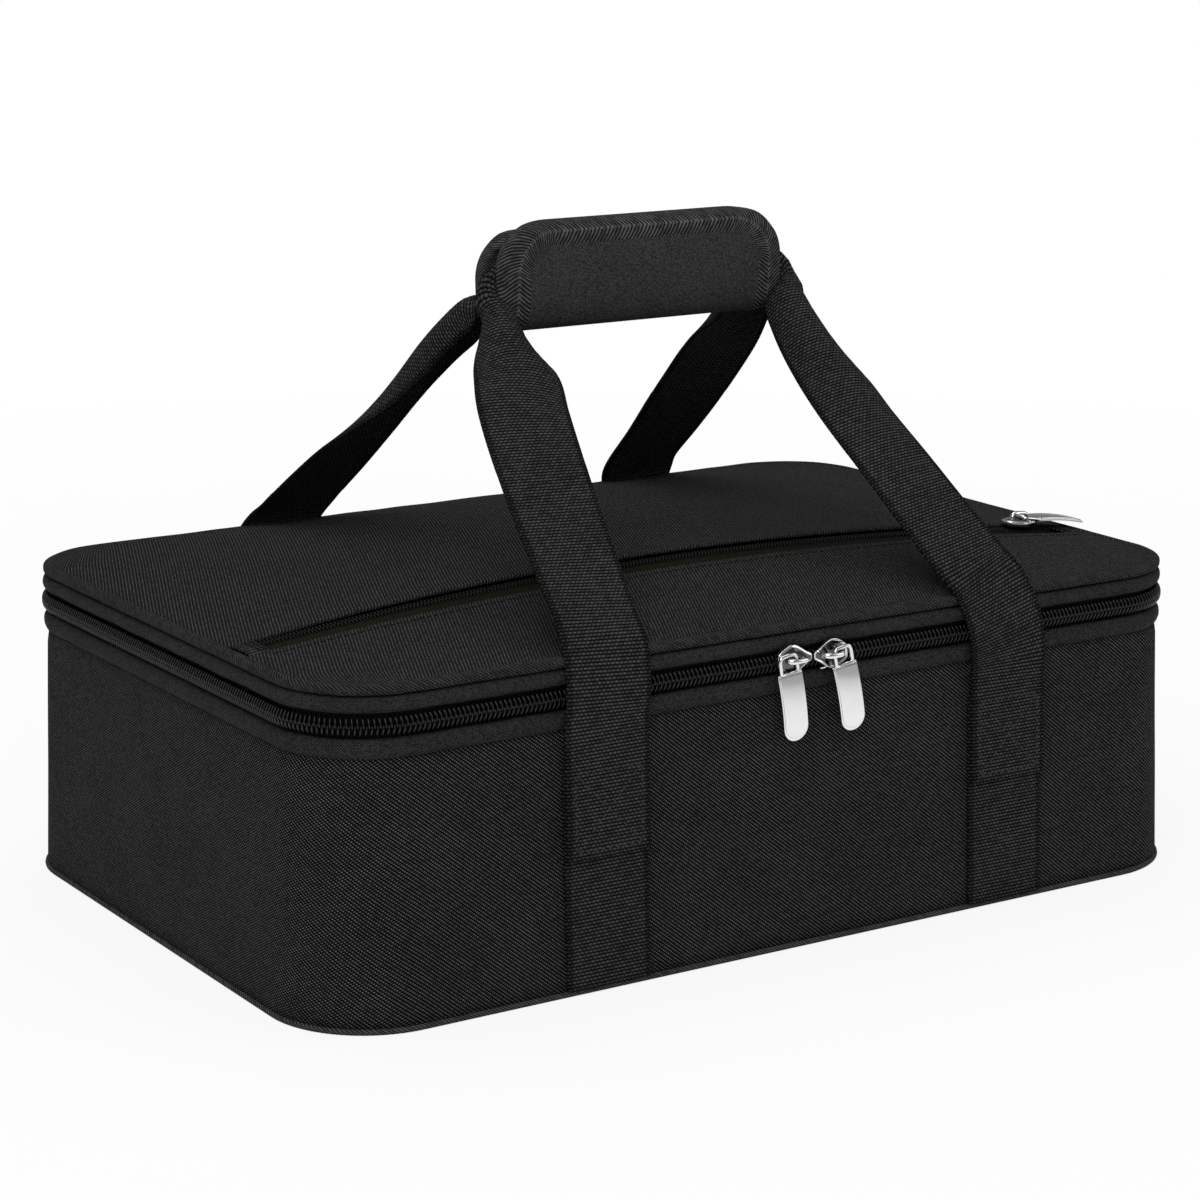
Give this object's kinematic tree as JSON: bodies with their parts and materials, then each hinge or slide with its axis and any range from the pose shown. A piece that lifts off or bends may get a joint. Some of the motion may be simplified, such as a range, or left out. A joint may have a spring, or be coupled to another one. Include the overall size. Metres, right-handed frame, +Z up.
{
  "type": "casserole carrier",
  "caption": "Padded fabric carrier for a baking dish: rectangular case with a zipped, crowned lid and a lid pocket, webbing handles joined by a padded wrap grip, and chrome zip pulls.",
  "frame": {"origin": "middle of the base, on the surface that the carrier stands on", "axes": "+Z up, +X along the length to the right as seen from the front, +Y to the back where the lid is hinged"},
  "size_m": [0.433, 0.2949, 0.2821],
  "materials": {
    "wall_cloth": "coarse woven polyester, black, with bright thread glints",
    "lid_cloth": "finely ribbed polyester, black",
    "webbing": "cross-ribbed polypropylene webbing, black",
    "binding": "herringbone and twill binding tape, black",
    "bead": "plain padded polyester, black",
    "grip_cloth": "matte fine-grained polyester, black",
    "zip_tape": "woven zip tape, black with an olive cast",
    "closure": "hook and loop tape, black",
    "foam": "closed-cell padding, pale grey",
    "zip_coil": "glossy nylon coil, black",
    "liner": "silvery wipe-clean film",
    "board": "plain sheet, dark grey",
    "chrome": "polished nickel-chrome plate"
  },
  "bodies": {
    "carrier_body": {"side_wall_fabric": "wall_cloth", "bottom_fabric": "wall_cloth", "base_piping": "binding", "base_board": "board", "floor_foam": "foam", "wall_foam": "foam", "liner_floor": "liner", "liner_left_wall": "liner", "liner_right_wall": "liner", "liner_front_wall": "liner", "liner_front_left_corner": "liner", "liner_front_right_corner": "liner", "liner_rear_wall": "liner", "liner_rear_left_corner": "liner", "liner_rear_right_corner": "liner", "rim_bead": "bead", "rim_inner_binding": "binding", "lower_zip_tape": "zip_tape", "lower_zip_coil": "zip_coil", "rear_hinge_strip": "wall_cloth", "zip_stop_left": "zip_coil", "zip_stop_right": "zip_coil", "front_left_anchor": "webbing", "front_left_strap_end": "webbing", "front_right_anchor": "webbing", "front_right_strap_end": "webbing", "rear_left_anchor": "webbing", "rear_left_strap_end": "webbing", "rear_right_anchor": "webbing", "rear_right_strap_end": "webbing"},
    "lid": {"lid_front_panel": "lid_cloth", "lid_rear_panel": "lid_cloth", "pocket_zip_tape": "zip_tape", "pocket_zip_coil": "zip_coil", "pocket_end_tab_left": "webbing", "pocket_end_tab_right": "webbing", "pocket_lining": "zip_tape", "lid_foam": "foam", "lid_liner": "liner", "lid_edge_bead": "bead", "lid_edge_binding": "binding", "upper_zip_tape": "zip_tape", "upper_zip_coil": "zip_coil"},
    "front_handle": {"front_handle_webbing": "webbing"},
    "rear_handle": {"rear_handle_webbing": "webbing", "grip_back_pad": "grip_cloth", "grip_back_binding": "binding", "grip_back_fold": "grip_cloth", "grip_loop_tape": "closure"},
    "grip_flap": {"grip_flap_pad": "grip_cloth", "grip_flap_binding": "binding", "grip_flap_fold": "grip_cloth", "grip_hook_tape": "closure"},
    "left_zip_slider": {"left_slider": "chrome"},
    "left_zip_pull": {"left_pull": "chrome"},
    "right_zip_slider": {"right_slider": "chrome"},
    "right_zip_pull": {"right_pull": "chrome"},
    "pocket_zip_slider": {"pocket_slider": "chrome"},
    "pocket_zip_pull": {"pocket_pull": "chrome"}
  },
  "joints": [
    {"name": "lid_hinge", "type": "hinge", "parent": "carrier_body", "child": "lid", "pos_m": [0, 0.1423, 0.1182], "axis": [-1, 0, 0], "range_deg": [0, 105], "deforming": ["rear_hinge_strip"]},
    {"name": "front_handle_fold", "type": "hinge", "parent": "carrier_body", "child": "front_handle", "pos_m": [0.0075, -0.14486, 0.09215], "axis": [1, 0, 0], "range_deg": [0, 140], "deforming": ["front_handle_webbing"]},
    {"name": "rear_handle_fold", "type": "hinge", "parent": "carrier_body", "child": "rear_handle", "pos_m": [0.0075, 0.14486, 0.09215], "axis": [-1, 0, 0], "range_deg": [0, 140]},
    {"name": "wrap_flap", "type": "hinge", "parent": "rear_handle", "child": "grip_flap", "pos_m": [0.0075, -0.009, 0.23635], "axis": [1, 0, 0], "range_deg": [0, 120]},
    {"name": "left_slide", "type": "slide", "parent": "carrier_body", "child": "left_zip_slider", "axis": [-1, 0, 0], "range_m": [0, 0.055]},
    {"name": "right_slide", "type": "slide", "parent": "carrier_body", "child": "right_zip_slider", "axis": [1, 0, 0], "range_m": [0, 0.055]},
    {"name": "left_pull_swing", "type": "hinge", "parent": "left_zip_slider", "child": "left_zip_pull", "pos_m": [-0.0075, -0.145, 0.1198], "axis": [0, -1, 0], "range_deg": [-70, 8]},
    {"name": "right_pull_swing", "type": "hinge", "parent": "right_zip_slider", "child": "right_zip_pull", "pos_m": [0.019, -0.145, 0.1198], "axis": [0, -1, 0], "range_deg": [-12, 59]},
    {"name": "pocket_slider_travel", "type": "hinge", "parent": "lid", "child": "pocket_zip_slider", "pos_m": [0, -0.059, -1.54205], "axis": [0, -1, 0], "range_deg": [0, 12.2]},
    {"name": "pocket_pull_flip", "type": "hinge", "parent": "pocket_zip_slider", "child": "pocket_zip_pull", "pos_m": [0.18038, -0.059, 0.14113], "axis": [0, -1, 0], "range_deg": [0, 170]}
  ],
  "couplings": [
    {"joint": "front_handle_fold", "follows": "lid_hinge", "ratio": 1.33},
    {"joint": "rear_handle_fold", "follows": "lid_hinge", "ratio": 1.33}
  ]
}
